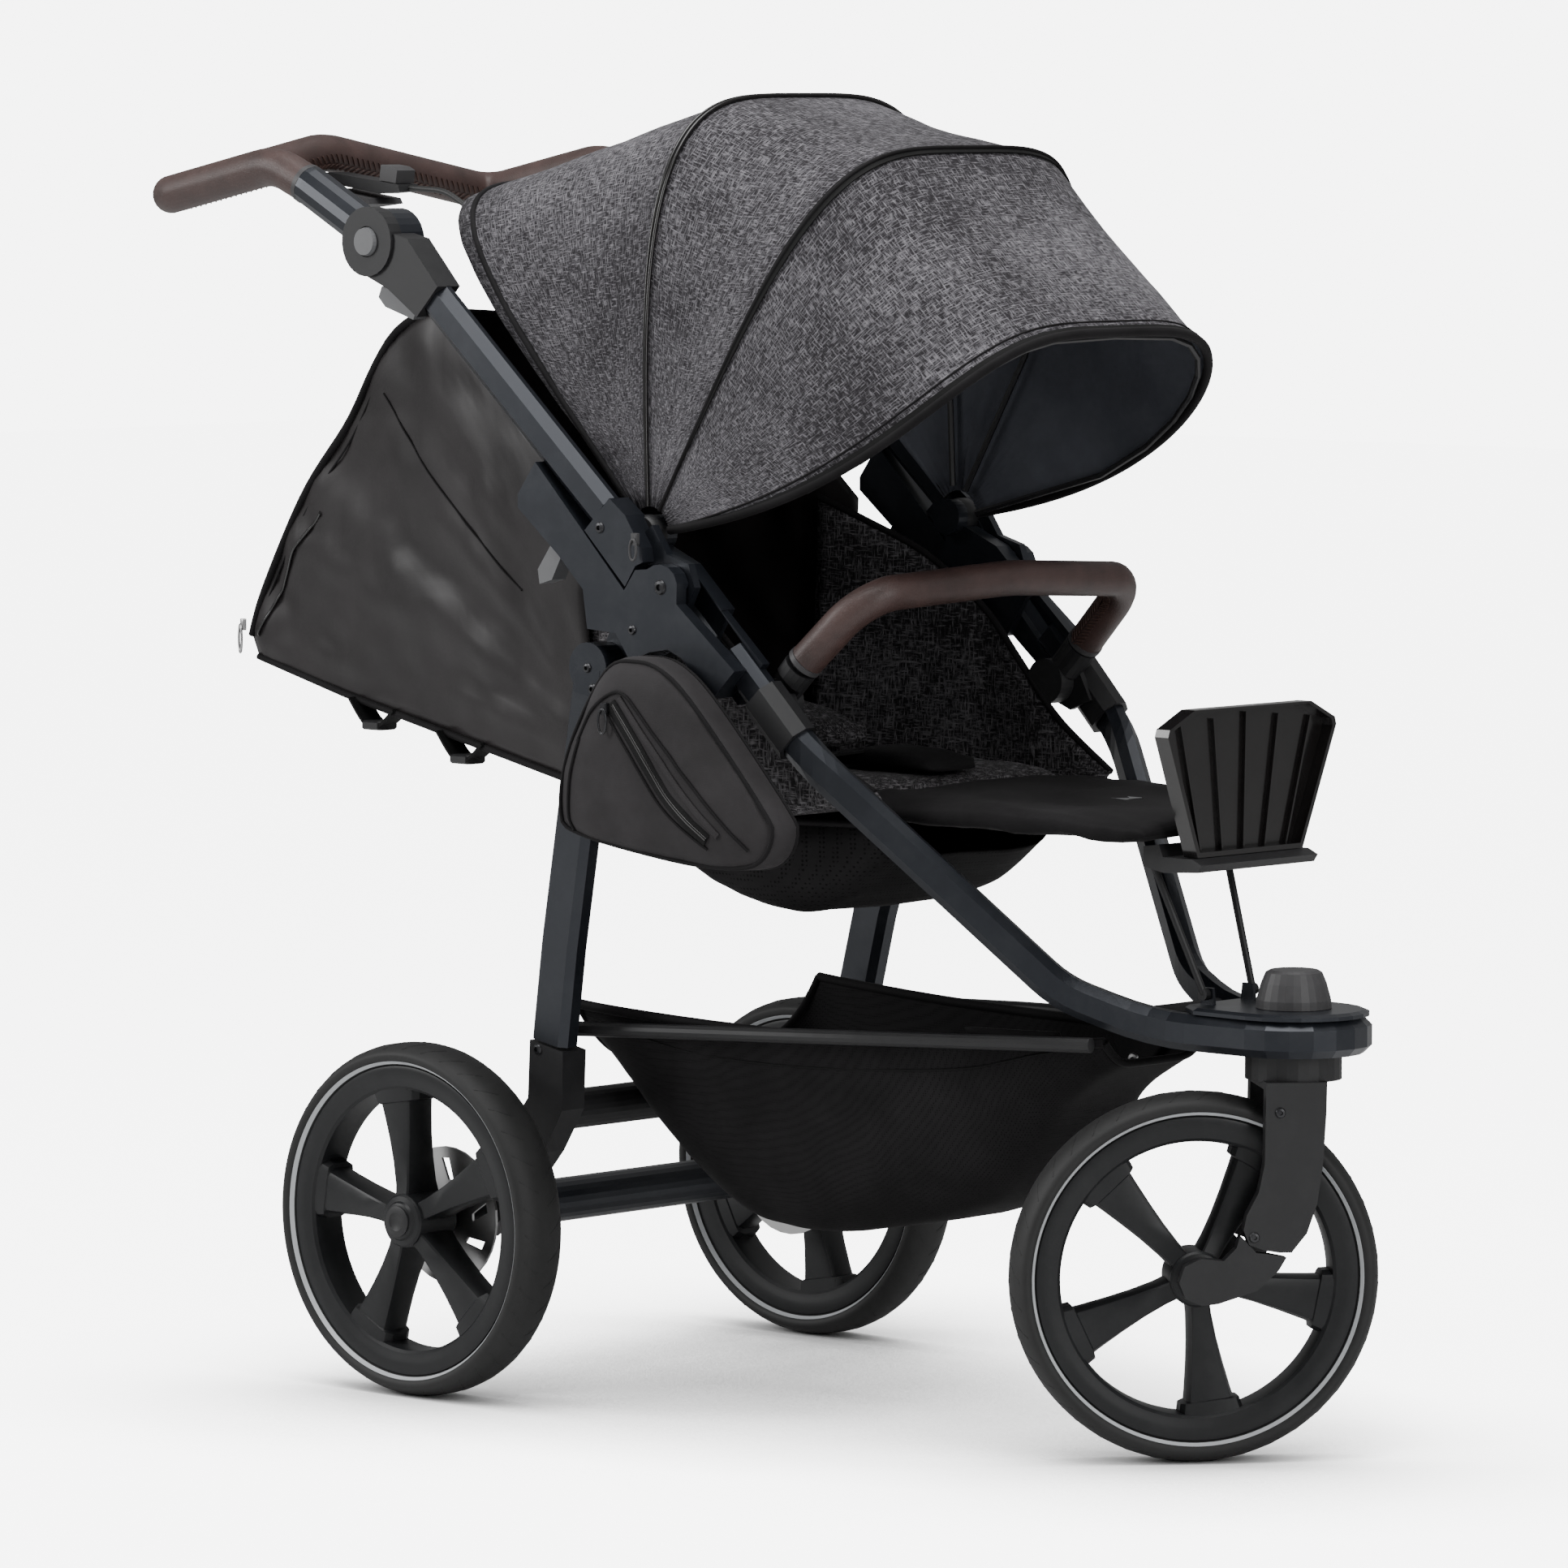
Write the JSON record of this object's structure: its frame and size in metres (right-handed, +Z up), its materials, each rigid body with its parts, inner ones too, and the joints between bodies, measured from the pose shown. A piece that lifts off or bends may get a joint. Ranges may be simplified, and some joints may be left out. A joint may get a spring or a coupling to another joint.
{
  "type": "baby stroller",
  "caption": "Folding three-wheel baby stroller with swivelling suspended front wheel, extending canopy, reclining seat, bumper bar, cargo basket and side bag",
  "frame": {"origin": "on the floor, at the middle of the object's length and width", "axes": "+X forward in the direction of travel, +Y to the child's left, +Z up"},
  "size_m": [1.175, 0.538, 1.0749],
  "materials": {
    "frame_paint": "satin",
    "black_plastic": "matte",
    "gloss_plastic": "gloss",
    "grey_plastic": "matte",
    "rim_plastic": "satin",
    "tyre_rubber": "matte",
    "disc_steel": "brushed",
    "brown_leather": "satin",
    "grey_melange": "woven",
    "black_fabric": "woven",
    "black_mesh": "open mesh",
    "cable_sheath": "matte"
  },
  "bodies": {
    "chassis": {"front_tube": "frame_paint", "hub_plate_right": "frame_paint", "hub_plate_left": "frame_paint", "head_plate": "frame_paint", "front_crossbar": "black_plastic", "bumper_clamp_right": "black_plastic", "bumper_clamp_left": "black_plastic", "seat_tub": "grey_melange", "seat_pouch": "black_mesh", "crotch_strap": "black_fabric", "basket_rail_right": "black_plastic", "basket_rail_left": "black_plastic", "basket": "black_fabric", "rear_hood": "black_fabric", "side_bag": "black_fabric"},
    "upper_frame": {"upper_tube_right": "frame_paint", "upper_tube_left": "frame_paint", "handle_knuckle_right": "black_plastic", "handle_knuckle_left": "black_plastic"},
    "handle": {"handle_bar": "frame_paint", "handle_grip": "brown_leather", "brake_bracket": "black_plastic", "brake_cable": "cable_sheath"},
    "button_right": {"handle_button_right": "grey_plastic"},
    "button_left": {"handle_button_left": "grey_plastic"},
    "hand_brake": {"brake_lever": "grey_plastic"},
    "parking_slider": {"brake_slider": "grey_plastic"},
    "lever_right": {"fold_lever_right": "grey_plastic"},
    "lever_left": {"fold_lever_left": "grey_plastic"},
    "catch_right": {"handle_catch_right": "grey_plastic"},
    "catch_left": {"handle_catch_left": "grey_plastic"},
    "rear_frame": {"rear_leg_right": "frame_paint", "rear_leg_left": "frame_paint", "leg_foot_right": "black_plastic", "leg_foot_left": "black_plastic", "axle_tube": "frame_paint", "rear_crossbar": "black_plastic"},
    "wheel_rear_right": {"rear_right_rim": "rim_plastic", "rear_right_tyre": "tyre_rubber", "brake_disc_right": "disc_steel"},
    "wheel_rear_left": {"rear_left_rim": "rim_plastic", "rear_left_tyre": "tyre_rubber", "brake_disc_left": "disc_steel"},
    "fork": {"front_fork": "black_plastic"},
    "swivel_lock": {"swivel_knob": "grey_plastic"},
    "suspension_arm": {"swing_arm": "black_plastic"},
    "wheel_front": {"front_rim": "rim_plastic", "front_tyre": "tyre_rubber"},
    "bumper": {"bumper_bar": "black_plastic", "bumper_grip": "brown_leather"},
    "bow_front": {"canopy_bow_front": "black_plastic", "canopy": "grey_melange"},
    "bow_middle": {"canopy_bow_middle": "black_plastic"},
    "bow_rear": {"canopy_bow_rear": "black_plastic"},
    "back": {"backrest": "grey_melange"},
    "leg_support": {"leg_rest": "black_fabric", "footboard": "gloss_plastic", "footboard_bar": "black_plastic"},
    "stays": {"stay_rod_right": "black_plastic", "stay_rod_left": "black_plastic"}
  },
  "joints": [
    {"name": "frame_fold", "type": "hinge", "parent": "chassis", "child": "upper_frame", "pos_m": [0.0445, 0, 0.681], "axis": [0, 1, 0], "range_deg": [0, 140]},
    {"name": "rear_fold", "type": "hinge", "parent": "chassis", "child": "rear_frame", "pos_m": [-0.0375, 0, 0.612], "axis": [0, -1, 0], "range_deg": [0, 45], "deforming": ["basket"]},
    {"name": "handle_tilt", "type": "hinge", "parent": "upper_frame", "child": "handle", "pos_m": [-0.2885, 0, 0.955], "axis": [0, 1, 0], "range_deg": [-50, 40], "deforming": ["brake_cable"]},
    {"name": "button_right_press", "type": "slide", "parent": "upper_frame", "child": "button_right", "axis": [0, 1, 0], "range_m": [0, 0.0035], "stiffness_N_per_m": 300},
    {"name": "button_left_press", "type": "slide", "parent": "upper_frame", "child": "button_left", "axis": [0, -1, 0], "range_m": [0, 0.0035], "stiffness_N_per_m": 300},
    {"name": "brake_lever_squeeze", "type": "hinge", "parent": "handle", "child": "hand_brake", "pos_m": [-0.4945, 0, 0.984], "axis": [0, 1, 0], "range_deg": [0, 4], "stiffness_Nm_per_rad": 2, "springref_deg": -2.86},
    {"name": "brake_slider_move", "type": "slide", "parent": "handle", "child": "parking_slider", "axis": [-0.9934, 0, 0.1147], "range_m": [0, 0.03]},
    {"name": "fold_lever_right_pull", "type": "slide", "parent": "chassis", "child": "lever_right", "axis": [-0.7071, 0, -0.7071], "range_m": [0, 0.006], "stiffness_N_per_m": 300, "springref_m": -0.003},
    {"name": "fold_lever_left_pull", "type": "slide", "parent": "chassis", "child": "lever_left", "axis": [-0.7071, 0, -0.7071], "range_m": [0, 0.006], "stiffness_N_per_m": 300, "springref_m": -0.003},
    {"name": "handle_catch_right_pull", "type": "slide", "parent": "upper_frame", "child": "catch_right", "axis": [-0.6, 0, -0.8], "range_m": [0, 0.004], "stiffness_N_per_m": 300, "springref_m": -0.003},
    {"name": "handle_catch_left_pull", "type": "slide", "parent": "upper_frame", "child": "catch_left", "axis": [-0.6, 0, -0.8], "range_m": [0, 0.004], "stiffness_N_per_m": 300, "springref_m": -0.003},
    {"name": "swivel_knob_turn", "type": "hinge", "parent": "chassis", "child": "swivel_lock", "pos_m": [0.5255, 0, 0.36], "axis": [0, 0, 1], "range_deg": [0, 90]},
    {"name": "fork_swivel", "type": "hinge", "parent": "chassis", "child": "fork", "pos_m": [0.5255, 0, 0.31], "axis": [0, 0, 1], "continuous": true},
    {"name": "front_suspension", "type": "hinge", "parent": "fork", "child": "suspension_arm", "pos_m": [0.50557, -0.02375, 0.188], "axis": [-0.766, 0.6428, 0], "range_deg": [0, 6], "stiffness_Nm_per_rad": 40, "springref_deg": -5.73},
    {"name": "front_wheel_spin", "type": "hinge", "parent": "suspension_arm", "child": "wheel_front", "pos_m": [0.47472, -0.06052, 0.147], "axis": [-0.766, 0.6428, 0], "continuous": true},
    {"name": "rear_wheel_right_spin", "type": "hinge", "parent": "rear_frame", "child": "wheel_rear_right", "pos_m": [-0.2095, -0.242, 0.147], "axis": [0, 1, 0], "continuous": true},
    {"name": "rear_wheel_left_spin", "type": "hinge", "parent": "rear_frame", "child": "wheel_rear_left", "pos_m": [-0.2095, 0.242, 0.147], "axis": [0, 1, 0], "continuous": true},
    {"name": "bumper_swing", "type": "hinge", "parent": "chassis", "child": "bumper", "pos_m": [0.1265, 0, 0.59], "axis": [0, 1, 0], "range_deg": [-30, 0]},
    {"name": "canopy_front_bow", "type": "hinge", "parent": "chassis", "child": "bow_front", "pos_m": [0.0035, 0, 0.722], "axis": [0, -1, 0], "range_deg": [0, 75], "deforming": ["canopy"]},
    {"name": "canopy_middle_bow", "type": "hinge", "parent": "chassis", "child": "bow_middle", "pos_m": [0.0035, 0, 0.722], "axis": [0, -1, 0], "range_deg": [0, 51]},
    {"name": "canopy_rear_bow", "type": "hinge", "parent": "chassis", "child": "bow_rear", "pos_m": [0.0035, 0, 0.722], "axis": [0, -1, 0], "range_deg": [0, 36]},
    {"name": "backrest_recline", "type": "hinge", "parent": "chassis", "child": "back", "pos_m": [-0.0395, 0, 0.514], "axis": [0, 1, 0], "range_deg": [0, 35], "deforming": ["rear_hood"]},
    {"name": "leg_rest_drop", "type": "hinge", "parent": "chassis", "child": "leg_support", "pos_m": [0.2005, 0, 0.506], "axis": [0, 1, 0], "range_deg": [0, 12.5]},
    {"name": "stay_rods_fold", "type": "hinge", "parent": "chassis", "child": "stays", "pos_m": [0.4585, 0, 0.367], "axis": [0, -1, 0], "range_deg": [0, 30.5]}
  ],
  "couplings": [
    {"joint": "rear_fold", "follows": "frame_fold", "ratio": 0.3214},
    {"joint": "canopy_middle_bow", "follows": "canopy_front_bow", "ratio": 0.67},
    {"joint": "canopy_rear_bow", "follows": "canopy_front_bow", "ratio": 0.47},
    {"joint": "stay_rods_fold", "follows": "leg_rest_drop", "ratio": 2.4}
  ]
}
